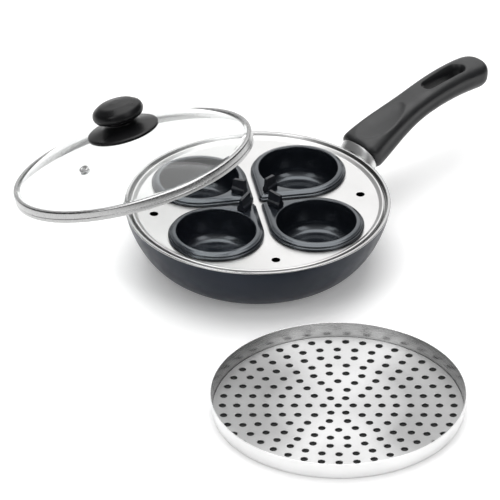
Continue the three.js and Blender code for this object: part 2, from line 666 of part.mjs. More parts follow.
function lidKnob() {
  const skirtFoot = domeTop(KNOB_SKIRT_RADIUS) + SEAT_GAP;
  const sealRoom = KNOB_SEAL_RADIUS + BORE_PLAY;
  const boreTop = insertTop + SEAT_GAP;
  const bore = KNOB_INSERT_RADIUS + SEAT_GAP;
  const headFoot = knobBase + KNOB_HEIGHT - KNOB_HEAD_THICKNESS;
  const knobTop = knobBase + KNOB_HEIGHT;
  const profile = [
    at(bore, boreTop), at(bore, knobBase), at(sealRoom, knobBase), at(sealRoom, domeTop(sealRoom) + SEAT_GAP),
    at(KNOB_SKIRT_RADIUS - KNOB_EDGE_ROUND, skirtFoot), at(KNOB_SKIRT_RADIUS, skirtFoot + KNOB_EDGE_ROUND),
    at(KNOB_SKIRT_RADIUS - KNOB_EDGE_ROUND / 2, skirtFoot + KNOB_SKIRT_EDGE),
    at(KNOB_NECK_RADIUS + KNOB_NECK_FLARE, skirtFoot + KNOB_SKIRT_EDGE + KNOB_SKIRT_RISE),
    at(KNOB_NECK_RADIUS, headFoot - KNOB_NECK_FILLET), at(KNOB_NECK_RADIUS + KNOB_NECK_FILLET, headFoot),
    at(KNOB_HEAD_RADIUS - KNOB_HEAD_ROUND, headFoot + KNOB_HEAD_ROUND),
    at(KNOB_HEAD_RADIUS, headFoot + KNOB_HEAD_THICKNESS * KNOB_BROW_AT),
    at(KNOB_HEAD_RADIUS - KNOB_HEAD_ROUND, headFoot + KNOB_HEAD_THICKNESS * KNOB_BROW_TOP_AT),
    at(KNOB_HEAD_RADIUS * 2 / 3, knobTop - KNOB_HEAD_ROUND),
    at(KNOB_HEAD_RADIUS / 3, knobTop - KNOB_HEAD_ROUND / 4), at(0, knobTop),
  ];
  return revolve([at(0, boreTop), ...profile], ROUND.medium);
}

function knobScrew() {
  const seat = washerBottom - SEAT_GAP;
  const headRadius = KNOB_SCREW_RADIUS * 2;
  const profile = [
    at(0, seat - SCREW_HEAD_HEIGHT), at(KNOB_SCREW_RADIUS, seat - SCREW_HEAD_HEIGHT),
    at(headRadius, seat - SCREW_HEAD_HEIGHT / 2), at(headRadius, seat),
    at(KNOB_SCREW_RADIUS, seat), at(KNOB_SCREW_RADIUS, insertTop), at(0, insertTop),
  ];
  return revolve(profile, ROUND.small);
}

function ventEyelet() {
  const over = SEAT_GAP;
  const under = -GLASS_THICKNESS - SEAT_GAP;
  const sleeve = VENT_BORE + VENT_WALL;
  const profile = [
    at(VENT_BORE, under - VENT_COLLAR), at(VENT_RADIUS, under - VENT_COLLAR),
    at(VENT_RADIUS, under), at(sleeve, under), at(sleeve, over), at(VENT_RADIUS, over),
    at(VENT_RADIUS - VENT_COLLAR / 2, over + VENT_COLLAR),
    at(VENT_BORE, over + VENT_COLLAR), at(VENT_BORE, under - VENT_COLLAR),
  ];
  return seatVent(revolve(profile, ROUND.small));
}

const insert = ring(KNOB_SCREW_RADIUS + SEAT_GAP, KNOB_INSERT_RADIUS, knobBase, insertTop, ROUND.small);
const washer = ring(screwHole, KNOB_WASHER_RADIUS, washerBottom, washerTop, ROUND.medium);
const sealTop = sealBottom + KNOB_SEAL_THICKNESS;
const seal = ring(screwHole, KNOB_SEAL_RADIUS, sealBottom, sealTop, ROUND.medium);
piece(lid, 'lid_glass', lidGlass(), clearGlass);
piece(lid, 'lid_band', lidBand(), brightSteel);
piece(lid, 'lid_knob', lidKnob(), knobPlastic);
piece(lid, 'knob_insert', insert, brass);
piece(lid, 'knob_screw', knobScrew(), platedSteel);
piece(lid, 'knob_washer', washer, platedSteel);
piece(lid, 'knob_seal', seal, rubber);
piece(lid, 'vent_eyelet', ventEyelet(), brightSteel);

// Steamer tray: a perforated floor held in a rolled rim, standing on the table in front of the pan
const tray = new THREE.Group();
tray.position.copy(sideways).multiplyScalar(TRAY_RIGHT).addScaledVector(away, -TRAY_IN_FRONT);
tray.rotation.z = -HANDLE_TURN * RADIANS;
part.add(tray);

// The rim's wall leans out a little from its floor flange to its top edge
function trayRim() {
  const top = trayRadius + TRAY_FLARE;
  const lip = trayRadius - TRAY_FLANGE;
  const profile = [
    at(lip, 0), at(trayRadius, 0), at(top, TRAY_HEIGHT), at(top - TRAY_SHEET, TRAY_HEIGHT),
    at(trayRadius - TRAY_SHEET, TRAY_SHEET), at(lip, TRAY_SHEET), at(lip, 0),
  ];
  return revolve(profile, ROUND.large);
}

function trayFloor() {
  const holes = [circlePoints(0, 0, TRAY_HOLE_RADIUS, ROUND.hole)];
  const outerRing = trayRadius - TRAY_SHEET - TRAY_HOLE_MARGIN;
  for (let radius = outerRing; radius > TRAY_RING_STEP; radius -= TRAY_RING_STEP) {
    const count = 2 * Math.round((Math.PI * radius) / TRAY_HOLE_PITCH);
    for (let i = 0; i < count; i += 1) {
      const angle = (2 * Math.PI * i) / count;
      const [x, y] = [radius * Math.cos(angle), radius * Math.sin(angle)];
      holes.push(circlePoints(x, y, TRAY_HOLE_RADIUS, ROUND.hole, angle));
    }
  }
  const bottom = TRAY_SHEET + SEAT_GAP;
  const edge = trayRadius - TRAY_SHEET - SEAT_GAP;
  return slab(circlePoints(0, 0, edge, ROUND.large), holes, bottom, bottom + TRAY_SHEET);
}

piece(tray, 'tray_rim', trayRim(), brightSteel);
piece(tray, 'tray_floor', trayFloor(), brightSteel);

export default part;
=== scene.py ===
"""Looks for the egg poacher pan: finer visible forms, materials, studio light and camera."""

import math

import bmesh
import bpy
from mathutils import Matrix, Vector
from mathutils.geometry import delaunay_2d_cdt


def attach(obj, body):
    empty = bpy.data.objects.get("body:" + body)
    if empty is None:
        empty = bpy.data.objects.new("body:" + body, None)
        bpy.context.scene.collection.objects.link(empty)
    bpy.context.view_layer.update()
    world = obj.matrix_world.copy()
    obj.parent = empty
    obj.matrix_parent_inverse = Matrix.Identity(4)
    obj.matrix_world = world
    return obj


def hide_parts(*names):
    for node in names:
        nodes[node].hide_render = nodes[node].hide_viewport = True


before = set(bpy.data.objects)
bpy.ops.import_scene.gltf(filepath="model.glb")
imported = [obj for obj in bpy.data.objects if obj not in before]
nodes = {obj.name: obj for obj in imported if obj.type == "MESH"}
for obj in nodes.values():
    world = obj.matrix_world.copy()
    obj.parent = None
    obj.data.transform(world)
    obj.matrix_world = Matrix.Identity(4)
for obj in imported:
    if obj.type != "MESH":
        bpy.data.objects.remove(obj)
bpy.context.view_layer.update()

MM = 0.001

# Lengths are in millimetres, and the other values are angles, powers and shares.
# The main ones are those of the part's source
RIM_RADIUS = 103
PAN_HEIGHT = 48
BASE_RADIUS = 64
SIDE_FLARE = 1.33
SIDE_BELLY = 2.2
WALL = 2.8
FLOOR_LEVEL = 3.6
LIP_START = 47
LIP_INNER = 98.9
LIP_CREST = 100.9
LIP_SLOPE_END = 46.3
SEAT_LEVEL = 44.5
SEAT_INNER = 94
SEAT_DEPTH = 3
LIP_EDGE = 45.9

PLATE_TOP = 45.5
BEAD_MIDDLE = 96.6
BEAD_RADIUS = 1.4
BEAD_RISE = 0.4
RAMP_REACH = 4.2
RAMP_FLAT = 3.8
RAMP_FOOT = 2.8
PLATE_TURN = 11
CUP_COUNT = 4
CUP_CIRCLE = 55.3
CUP_HOLE_RADIUS = 32.5
STEAM_CIRCLE = 81
STEAM_RADIUS = 3.3

FLANGE_RADIUS = 37
FLANGE_BOTTOM = 45.8
FLANGE_TOP = 50.4
FLANGE_STEP = 0.9
FLANGE_CROWN = 1.2
STEP_TOP = 47.5
CROWN_WIDTH = 3.8
FLANGE_ROUND = 1.1
CUP_OPENING = 30.5
OPENING_ROUND = 1.3
CUP_BEND = 9
CUP_FLOOR = 23.4
FLOOR_PAD_RISE = 0.5
CUP_WALL = 1.2
CUP_WALL_LEVELS = (36, 42)
CUP_OUTER_LEVEL = 40
PAD_RADIUS = 10
TIP_RADIUS = 4
TIP_CENTRE = 8.63
TIP_ANGLE = math.radians(135)
TIP_FINE_ANGLE = math.radians(174.5)

ROOT_HEIGHT = 38
ROOT_SLOPE = math.radians(23)
FERRULE_LENGTH = 12
FERRULE_SIZE = (35.5, 26.5)
FERRULE_TAPER = 1.2
FERRULE_DIP = 21
FERRULE_SQUARENESS = 2.3
SEAT_GAP = 0.3
HANDLE_LENGTH = 131.5
HANDLE_BENDS = (0.28, 0.6)
HANDLE_RISE = 20.6
HANDLE_CREST = 29.6
HANDLE_WAIST_AT = 0.52
HANDLE_WIDTHS = (39, 28, 31.2)
HANDLE_HEIGHTS = (28.5, 20.5, 22)
HANDLE_SQUARENESS = 3
HANDLE_NOSE_LIFT = 0.8
HANDLE_TIP_KEPT = 0.25
HANDLE_TIP_LENGTH = 11.5
HANDLE_TIP_BLUNT = 0.22
HANDLE_SHOULDER = 5
HANDLE_SHOULDER_CUT = 0.09

# Place along the handle, reach along it, reach across it as a share of the width, and depth
THUMB_REST = (0.24, 0.19, 0.36, 3.0)
# Level and spread as shares of the handle's height, and depth
SIDE_GROOVE = (0.1, 0.14, 1.0)
GROOVE_ENDS = (0.12, 0.2)

SLOT_START = 182
SLOT_END = 223
SLOT_WIDTH = 10
HANDLE_VOXEL = 0.8

GLASS_THICKNESS = 2.6
DOME_RADIUS = 168.616
DOME_FOOT = 90.9
DOME_APEX = 34.1
GLASS_HOLE = 2.6
GLASS_EDGE = 93.5
GLASS_BOTTOM = 4.9
LID_RADIUS = 94.6
BAND_HEIGHT = 8.6
BAND_WALL = 0.8
BAND_INNER = 91.2
BAND_GROOVE = 3.1
BAND_GROOVE_DEPTH = 0.4
VENT_CIRCLE = 53.5
VENT_TURN = math.radians(90.5)
VENT_RADIUS = 3.8
VENT_BORE = 1.6
VENT_NECK = 2.4
# Bottom and top of the lower flange, then of the upper one
VENT_LEVELS = (-3.8, -2.9, 0.3, 1.2)

TRAY_RADIUS = 95.2
TRAY_HEIGHT = 13.6
TRAY_FLARE = 1.4
TRAY_BEND = 1.6
TRAY_SHEET = 0.8
TRAY_FLANGE_INNER = 91.2
TRAY_FLOOR_TOP = 1.9
TRAY_FLOOR_EDGE = 94.1
TRAY_HOLE_RADIUS = 2.8
TRAY_OUTER_RING = 87.2
TRAY_RING_STEP = 10.85
TRAY_HOLE_PITCH = 13.02
TRAY_EASE = 0.3
# Radius and height of the black card under the tray, which is painted shade
SHADE_CARD_RADIUS = 90.6
SHADE_CARD_LEVEL = 0.7

LID_PLACE = (
    Matrix.Translation(Vector((-92.1729, 39.7985, 99.2)) * MM)
    @ Matrix.Rotation(math.radians(100), 4, "Z")
    @ Matrix.Rotation(math.radians(18.8), 4, "Y")
)
TRAY_PLACE = (
    Matrix.Translation(Vector((-105.3403, -196.4641, 0)) * MM)
    @ Matrix.Rotation(math.radians(-44), 4, "Z")
)

# Steps round a full turn
FINE = 144
MEDIUM = 64
OVAL_STEPS = 96
CUP_HOLE_STEPS = 72
STEAM_HOLE_STEPS = 32
TRAY_HOLE_STEPS = 24

# A flat ring round each hole keeps the shading between the holes even
COLLAR = 0.4
# How far the middle of a rounded corner lies from its sides, as a share of the rounding
ARC_MIDDLE = 0.3


# Forms
def rounded(points, steps=6):
    """A profile of (radius, height, fillet) points, its corners rounded by their fillets."""
    result = []
    for i, point in enumerate(points):
        here = Vector(point[:2])
        if len(point) < 3:
            result.append(here)
            continue
        before = Vector(points[i - 1][:2]) - here
        after = Vector(points[(i + 1) % len(points)][:2]) - here
        half = before.angle(after) / 2
        reach = min(point[2] / math.tan(half), 0.49 * min(before.length, after.length))
        a, b = before.normalized() * reach, after.normalized() * reach
        middle = here + (a + b).normalized() * (reach / math.cos(half))
        start, end = here + a - middle, here + b - middle
        turn = start.angle(end)
        for step in range(steps + 1):
            share = step / steps
            arm = start * math.sin((1 - share) * turn) + end * math.sin(share * turn)
            result.append(middle + arm / math.sin(turn))
    return result


def stitch(rows, closed):
    """Faces between neighbouring rows of vertex numbers; a row of one is a pole."""
    faces = []
    count = max(len(row) for row in rows)
    pairs = list(zip(rows, rows[1:])) + ([(rows[-1], rows[0])] if closed else [])
    for a, b in pairs:
        for i in range(count):
            j = (i + 1) % count
            loop = [a[i % len(a)], a[j % len(a)], b[j % len(b)], b[i % len(b)]]
            face = list(dict.fromkeys(loop))
            if len(face) > 2:
                faces.append(face)
    return faces


def lathe(profile, segments, closed=False):
    """Turns a profile of (radius, height) about Z."""
    verts, rows = [], []
    for radius, height in profile:
        count = 1 if radius < 1e-6 else segments
        rows.append(range(len(verts), len(verts) + count))
        for i in range(count):
            angle = 2 * math.pi * i / segments
            verts.append((radius * math.cos(angle), radius * math.sin(angle), height))
    return verts, stitch(rows, closed)


def circle(x, y, radius, count):
    steps = [2 * math.pi * i / count for i in range(count)]
    return [Vector((x + radius * math.cos(t), y + radius * math.sin(t))) for t in steps]


def pierced_sheet(edge, holes, top, bottom, ease):
    """A flat sheet with round holes. edge is the outer profile from the top face to the bottom one."""
    loops = [circle(0, 0, edge[0][0], FINE)]
    loops += [circle(x, y, radius + ease + COLLAR, count) for x, y, radius, count in holes]
    points, bounds = [], []
    for loop in loops:
        bounds.append(list(range(len(points), len(points) + len(loop))))
        points += loop
    flat, _, triangles, _, _, owners = delaunay_2d_cdt(points, [], bounds, 0, 1e-5)
    kept = [face for face, owner in zip(triangles, owners) if owner == [0]]
    shift = len(flat)
    verts = [(p.x, p.y, top) for p in flat] + [(p.x, p.y, bottom) for p in flat]
    faces = kept + [[v + shift for v in reversed(face)] for face in kept]

    def rows_between(first, rings):
        rows = [first]
        for ring in rings:
            rows.append(list(range(len(verts), len(verts) + len(ring))))
            verts.extend(ring)
        rows.append([v + shift for v in first])
        faces.extend(stitch(rows, False))

    def ring(x, y, radius, height, count):
        return [(p.x, p.y, height) for p in circle(x, y, radius, count)]

    rows_between(bounds[0], [ring(0, 0, r, z, FINE) for r, z in edge[1:-1]])
    for (x, y, radius, count), first in zip(holes, bounds[1:]):
        bend = ease * ARC_MIDDLE
        levels = [
            (radius + ease, top), (radius + bend, top - bend), (radius, top - ease),
            (radius, bottom + ease), (radius + bend, bottom + bend), (radius + ease, bottom),
        ]
        rows_between(first, [ring(x, y, r, z, count) for r, z in levels])
    return verts, faces


def added(name, data):
    """A new object in the scene that holds the data."""
    obj = bpy.data.objects.new(name, data)
    bpy.context.scene.collection.objects.link(obj)
    return obj


def mesh_of(name, form, turn=Matrix.Identity(3)):
    """A mesh in metres from a form in millimetres, its faces turned outward."""
    verts, faces = form
    mesh = bpy.data.meshes.new(name)
    mesh.from_pydata([turn @ Vector(v) * MM for v in verts], [], faces)
    work = bmesh.new()
    work.from_mesh(mesh)
    bmesh.ops.recalc_face_normals(work, faces=work.faces)
    work.to_mesh(mesh)
    work.free()
    return mesh


def piece(name, form, body, replaced, looks, place=Matrix(), paint=None, sharp=40):
    """One shown piece: its mesh, material, the body it rides on and the CAD nodes it stands for."""
    mesh = mesh_of(name, form, place.to_3x3())
    for look in looks:
        mesh.materials.append(look)
    if paint:
        for face in mesh.polygons:
            face.material_index = paint(face.center / MM)
    mesh.shade_smooth()
    mesh.set_sharp_from_angle(angle=math.radians(sharp))
    obj = added(name, mesh)
    obj.location = place.translation
    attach(obj, body)
    if replaced:
        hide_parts(*replaced)
    return obj


# Materials
# Scales of the noise that breaks the surfaces up, in cells to a metre
MOTTLE = 38
SMUDGES = 90
CLOUDS = 26
GLASS_SMEARS = 60
STAGE_SMEARS = 20
METAL_GRAIN = 900
TURNED_LINES = 2600
# Scratches on a standing wall: cells to a radian along it and to a metre across it
HOOP_LINES = (5, 3000)
# Most noise values lie in this span
NOISE_SPAN = (0.3, 0.7)
# The marks run round Z, so the sheen is stretched across them
SHEEN_TURN = 0.25
CLOUD_SHADE = 0.94


class Nodes:
    """Short ways to add nodes to a tree and to join them."""

    def __init__(self, tree):
        self.tree = tree

    def node(self, kind, **values):
        made = self.tree.nodes.new(kind)
        for key, value in values.items():
            setattr(made, key, value)
        return made

    def link(self, source, target):
        self.tree.links.new(source, target)

    def calc(self, operation, first, second=None):
        made = self.node("ShaderNodeMath", operation=operation)
        for socket, value in zip(made.inputs, (first, second)):
            if value is None:
                continue
            if isinstance(value, (int, float)):
                socket.default_value = value
            else:
                self.link(value, socket)
        return made.outputs[0]

    def fade(self, source, start, end, before, after):
        """A value that goes from before to after as the source goes from start to end."""
        made = self.node("ShaderNodeMapRange")
        for socket, value in zip(made.inputs[1:5], (start, end, before, after)):
            socket.default_value = value
        self.link(source, made.inputs["Value"])
        return made.outputs["Result"]


class Look(Nodes):
    """A node material that starts from one Principled shader, in Object coordinates."""

    def __init__(self, name, colour, roughness, metallic=0.0, **values):
        self.material = bpy.data.materials.new(name)
        self.material.use_nodes = True
        super().__init__(self.material.node_tree)
        self.shader = self.tree.nodes["Principled BSDF"]
        self.colour = colour
        self.roughness = roughness
        self.set("Base Color", (*colour, 1))
        self.set("Roughness", roughness)
        self.set("Metallic", metallic)
        for socket, value in values.items():
            self.set(socket.replace("_", " "), value)

    def set(self, socket, value):
        self.shader.inputs[socket].default_value = value

    def place(self):
        return self.node("ShaderNodeTexCoord").outputs["Object"]

    def noise(self, scale, detail):
        made = self.node("ShaderNodeTexNoise")
        made.inputs["Scale"].default_value = scale
        made.inputs["Detail"].default_value = detail
        self.link(self.place(), made.inputs["Vector"])
        return made.outputs["Fac"]

    def radius(self):
        split = self.node("ShaderNodeSeparateXYZ")
        self.link(self.place(), split.inputs[0])
        x, y = split.outputs[0], split.outputs[1]
        squares = self.calc("ADD", self.calc("MULTIPLY", x, x), self.calc("MULTIPLY", y, y))
        return self.calc("SQRT", squares)

    def rings(self, scale, detail=3.0):
        """Fine lines that run round Z, as a turning tool leaves them."""
        made = self.node("ShaderNodeTexNoise", noise_dimensions="1D")
        made.inputs["Scale"].default_value = scale
        made.inputs["Detail"].default_value = detail
        self.link(self.radius(), made.inputs["W"])
        return made.outputs["Fac"]

    def hoop(self, along, across, detail=3.0):
        """Long scratches that run round Z on a standing wall."""
        split = self.node("ShaderNodeSeparateXYZ")
        self.link(self.place(), split.inputs[0])
        angle = self.calc("ARCTAN2", split.outputs[1], split.outputs[0])
        joined = self.node("ShaderNodeCombineXYZ")
        self.link(self.calc("MULTIPLY", angle, along), joined.inputs[0])
        self.link(self.calc("MULTIPLY", split.outputs[2], across), joined.inputs[1])
        made = self.node("ShaderNodeTexNoise")
        made.inputs["Scale"].default_value = 1.0
        made.inputs["Detail"].default_value = detail
        self.link(joined.outputs[0], made.inputs["Vector"])
        return made.outputs["Fac"]

    def vary_roughness(self, source, spread):
        smoothest, roughest = max(0.02, self.roughness - spread), self.roughness + spread
        varied = self.fade(source, *NOISE_SPAN, smoothest, roughest)
        self.link(varied, self.shader.inputs["Roughness"])

    def vary_colour(self, source, other, low=0.35, high=0.65):
        ramp = self.node("ShaderNodeValToRGB")
        first, last = ramp.color_ramp.elements
        first.position, first.color = low, (*self.colour, 1)
        last.position, last.color = high, (*other, 1)
        self.link(source, ramp.inputs["Fac"])
        self.link(ramp.outputs["Color"], self.shader.inputs["Base Color"])

    def spin_brush(self, turned, centre):
        """Brushed round and round: the marks lose their direction towards the centre."""
        spun = self.fade(self.radius(), 0.0, centre, 0.0, turned)
        self.link(spun, self.shader.inputs["Anisotropic"])

    def bump(self, source, distance, strength=1.0):
        made = self.node("ShaderNodeBump")
        made.inputs["Strength"].default_value = strength
        made.inputs["Distance"].default_value = distance
        self.link(source, made.inputs["Height"])
        self.link(made.outputs["Normal"], self.shader.inputs["Normal"])


def grey(value, warm=0.0):
    return (value * (1 + warm), value, value * (1 - warm))


def plastic(name, colour, other, roughness, grain, depth, spread=0.06, **values):
    look = Look(name, colour, roughness, **values)
    look.vary_colour(look.noise(MOTTLE, 4), other)
    look.vary_roughness(look.noise(SMUDGES, 3), spread)
    look.bump(look.noise(grain, 2), depth)
    return look.material


def metal(name, colour, roughness, spread, depth, kind, turned=0.0, centre=0.0):
    look = Look(name, colour, roughness, 1.0, Anisotropic=turned, Anisotropic_Rotation=SHEEN_TURN)
    if turned:
        tangent = look.node("ShaderNodeTangent", direction_type="RADIAL", axis="Z")
        look.link(tangent.outputs[0], look.shader.inputs["Tangent"])
    if kind == "hoop":
        lines = look.hoop(*HOOP_LINES)
    elif kind == "rings":
        lines = look.rings(TURNED_LINES)
    else:
        lines = look.noise(METAL_GRAIN, 3)
    look.vary_roughness(lines, spread)
    if centre:
        look.spin_brush(turned, centre * MM)
    look.vary_colour(look.noise(CLOUDS, 3), tuple(c * CLOUD_SHADE for c in colour))
    look.bump(lines, depth, strength=0.5)
    return look.material


coating = plastic(
    "pan_coating", (0.007, 0.0105, 0.020), (0.009, 0.013, 0.024), roughness=0.36, grain=900, depth=0.000008,
    Specular_IOR_Level=0.2, Specular_Tint=(0.82, 0.9, 1, 1), Coat_Weight=0.04, Coat_Roughness=0.25)
inside_coating = plastic(
    "pan_inside", (0.012, 0.012, 0.013), (0.017, 0.017, 0.018), roughness=0.4, grain=900, depth=0.00001)
handle_plastic = plastic(
    "handle_plastic", (0.014, 0.0145, 0.0155), (0.018, 0.0185, 0.0195), roughness=0.36, grain=900,
    depth=0.00002, Specular_IOR_Level=0.4)
grip_plastic = plastic(
    "grip_plastic", (0.008, 0.01, 0.0145), (0.011, 0.013, 0.018), roughness=0.34, grain=1100,
    depth=0.000015, Specular_IOR_Level=0.5)
knob_plastic = plastic(
    "knob_plastic", (0.005, 0.005, 0.0056), (0.0075, 0.0075, 0.0082), roughness=0.33, grain=1100,
    depth=0.000006, Specular_IOR_Level=0.24)
non_stick = plastic(
    "cup_non_stick", (0.007, 0.0085, 0.0115), (0.008, 0.0095, 0.013), roughness=0.22, grain=900,
    depth=0.000002, spread=0.02, Specular_IOR_Level=0.8, Specular_Tint=(0.86, 0.93, 1, 1),
    Coat_Weight=0.35, Coat_Roughness=0.1, Coat_Tint=(0.94, 0.97, 1, 1))
seal_rubber = plastic(
    "seal_rubber", grey(0.72, 0.02), grey(0.66, 0.02), roughness=0.7, grain=900, depth=0.00002)

turned_metal = metal("turned_lip", grey(0.44), 0.2, spread=0.05, depth=0.000004, kind="rings")
plate_metal = metal("plate_steel", grey(0.6, 0.006), 0.34, spread=0.05, depth=0.000003, kind="rings")
ferrule_metal = metal("ferrule_steel", grey(0.8), 0.38, spread=0.04, depth=0.000001, kind="grain")
polished = metal("polished_steel", grey(0.7), 0.14, spread=0.04, depth=0.000003, kind="grain")
band_metal = metal("lid_band_steel", grey(0.5), 0.26, spread=0.05, depth=0.000003, kind="grain")
plated = metal("plated_steel", grey(0.55), 0.3, spread=0.06, depth=0.000008, kind="grain")
brass = metal("brass", (0.62, 0.42, 0.15), 0.32, spread=0.06, depth=0.000008, kind="grain")
brushed_rim = metal(
    "tray_rim_steel", grey(0.68), 0.24, spread=0.08, depth=0.000003, kind="hoop", turned=0.5)
# A lighter copy of the rim steel for its outer face: a painted highlight that keeps the outer wall white
rim_painted_highlight = metal(
    "tray_rim_painted_highlight", grey(0.94), 0.4, spread=0.05, depth=0.000002, kind="hoop", turned=0.5)
tray_metal = metal(
    "tray_floor_steel", grey(0.58), 0.55, spread=0.03, depth=0.000002, kind="grain", turned=0.9, centre=55)

glass_look = Look("lid_glass", (0.97, 0.985, 0.98), 0.02, Transmission_Weight=1.0, IOR=1.36)
glass_look.vary_roughness(glass_look.noise(GLASS_SMEARS, 2), 0.01)
glass = glass_look.material


# Pan
def side_radius(height):
    share = min(1, max(0, height / PAN_HEIGHT))
    bulge = (1 - (1 - share) ** SIDE_FLARE) ** (1 / SIDE_BELLY)
    return BASE_RADIUS + (RIM_RADIUS - BASE_RADIUS) * bulge


def pan_form():
    shares = [(i / 40) ** 2 for i in range(1, 40)]
    outside = [(side_radius(s * LIP_START), s * LIP_START) for s in shares]
    under_seat = SEAT_LEVEL - SEAT_DEPTH
    lip = rounded([
        outside[-1], (RIM_RADIUS, LIP_START), (RIM_RADIUS, PAN_HEIGHT, 0.7),
        (LIP_CREST, PAN_HEIGHT, 0.6), (LIP_INNER, LIP_SLOPE_END, 0.4), (LIP_INNER, SEAT_LEVEL, 0.3),
        (SEAT_INNER, SEAT_LEVEL, 0.4), (SEAT_INNER, under_seat),
    ])[1:]
    heights = [under_seat - (under_seat - FLOOR_LEVEL) * (i / 24) ** 0.7 for i in range(1, 24)]
    inside = [(min(SEAT_INNER, side_radius(h - FLOOR_LEVEL / 2) - WALL), h) for h in heights]
    floor = [(BASE_RADIUS - WALL, FLOOR_LEVEL), (30, FLOOR_LEVEL), (0, FLOOR_LEVEL)]
    return lathe([(0, 0), (40, 0), (BASE_RADIUS, 0)] + outside + lip + inside + floor, FINE)


def pan_paint(middle):
    radius = math.hypot(middle.x, middle.y)
    if middle.z > LIP_EDGE or (middle.z > SEAT_LEVEL - 0.5 and radius < LIP_INNER + 0.4):
        return 1
    outside = radius > side_radius(middle.z) - WALL / 2 or middle.z < FLOOR_LEVEL / 2
    return 0 if outside else 2


piece("pan", pan_form(), "pan", ["pan_body"],
      [coating, turned_metal, inside_coating], paint=pan_paint)


# Handle and ferrule
root_point = Vector((side_radius(ROOT_HEIGHT), 0, ROOT_HEIGHT))
root_direction = Vector((math.cos(ROOT_SLOPE), 0, math.sin(ROOT_SLOPE)))


def along_root(distance):
    return root_point + root_direction * distance


def oval(centre, direction, width, height, angle, squareness):
    """A point on a rounded section, squarer above than below, square to the direction."""
    upward = Vector((-direction.z, 0, direction.x))
    c, s = math.cos(angle), math.sin(angle)
    power = 2 / squareness if s > 0 else 1
    across = math.copysign(abs(c) ** power, c) * width / 2
    up = math.copysign(abs(s) ** power, s) * height / 2
    return centre + upward * up + Vector((0, across, 0))


def ferrule_form():
    width, height = FERRULE_SIZE
    upward = Vector((-root_direction.z, 0, root_direction.x))

    def point(distance, angle, inset=0.0):
        share = (FERRULE_LENGTH - distance) / (2 * FERRULE_LENGTH)
        dip = FERRULE_DIP * share
        grow = 2 * FERRULE_TAPER * share - 2 * inset
        centre = along_root(distance) - upward * (dip / 2)
        return oval(centre, root_direction, width + grow, height - dip + grow, angle, FERRULE_SQUARENESS)

    def outside_pan(p):
        reach = side_radius(p.z) if p.z < PAN_HEIGHT else RIM_RADIUS
        return math.hypot(p.x, p.y) > reach + SEAT_GAP

    def start(angle):
        low, high = -FERRULE_LENGTH, FERRULE_LENGTH
        for _ in range(30):
            middle = (low + high) / 2
            low, high = (low, middle) if outside_pan(point(middle, angle)) else (middle, high)
        return high

    angles = [2 * math.pi * (i + 0.5) / OVAL_STEPS for i in range(OVAL_STEPS)]
    starts = [start(angle) for angle in angles]
    # Share of the way from the pan to the handle, and inset of the eased ends
    stations = [
        (0, 8), (0, 0.5), (0.03, 0.15), (0.1, 0.0), (0.5, 0.0),
        (0.8, 0.0), (0.93, 0.06), (0.98, 0.25), (1, 0.7), (1, 8),
    ]
    verts, rows = [], []
    for share, inset in stations:
        rows.append(list(range(len(verts), len(verts) + OVAL_STEPS)))
        for first, angle in zip(starts, angles):
            distance = first + (FERRULE_LENGTH - first) * share
            verts.append(point(distance, angle, inset))
    return verts, stitch(rows, False)


piece("ferrule_shell", ferrule_form(), "pan", ["ferrule"], [ferrule_metal])

handle_root = along_root(FERRULE_LENGTH + SEAT_GAP)
handle_bends = (
    handle_root,
    along_root(FERRULE_LENGTH + SEAT_GAP + HANDLE_LENGTH * HANDLE_BENDS[0]),
    handle_root + Vector((HANDLE_LENGTH * HANDLE_BENDS[1], 0, HANDLE_CREST)),
    handle_root + Vector((HANDLE_LENGTH, 0, HANDLE_RISE)),
)


def handle_point(t):
    a, b, c, d = handle_bends
    return a * (1 - t) ** 3 + b * 3 * t * (1 - t) ** 2 + c * 3 * t * t * (1 - t) + d * t ** 3


def handle_direction(t):
    a, b, c, d = handle_bends
    return ((b - a) * (1 - t) ** 2 + (c - b) * 2 * t * (1 - t) + (d - c) * t * t).normalized()


def handle_size(t, sizes):
    butt, waist, end = sizes
    if t < HANDLE_WAIST_AT:
        first, last, step = butt, waist, t / HANDLE_WAIST_AT
    else:
        first, last, step = waist, end, (t - HANDLE_WAIST_AT) / (1 - HANDLE_WAIST_AT)
    return first + (last - first) * step * step * (3 - 2 * step)


def hand_moulded(point, centre, t, width, height):
    """The point pressed in by the thumb rest on top and by the groove along each side."""
    direction = handle_direction(t)
    upward = Vector((-direction.z, 0, direction.x))
    up = (point - centre).dot(upward) / height
    across = point.y / width
    place, reach, half_width, depth = THUMB_REST
    off = ((t - place) / reach) ** 2 + (across / half_width) ** 2
    pressed = depth * max(0, 1 - off) ** 0.7 if up > 0.2 else 0
    level, spread, groove = SIDE_GROOVE
    along = min(1, t / GROOVE_ENDS[0], (1 - t) / GROOVE_ENDS[1])
    pinched = groove * along * math.exp(-(((up - level) / spread) ** 2)) * min(1, abs(across) / 0.4)
    return point - upward * pressed - Vector((0, math.copysign(pinched, point.y), 0))


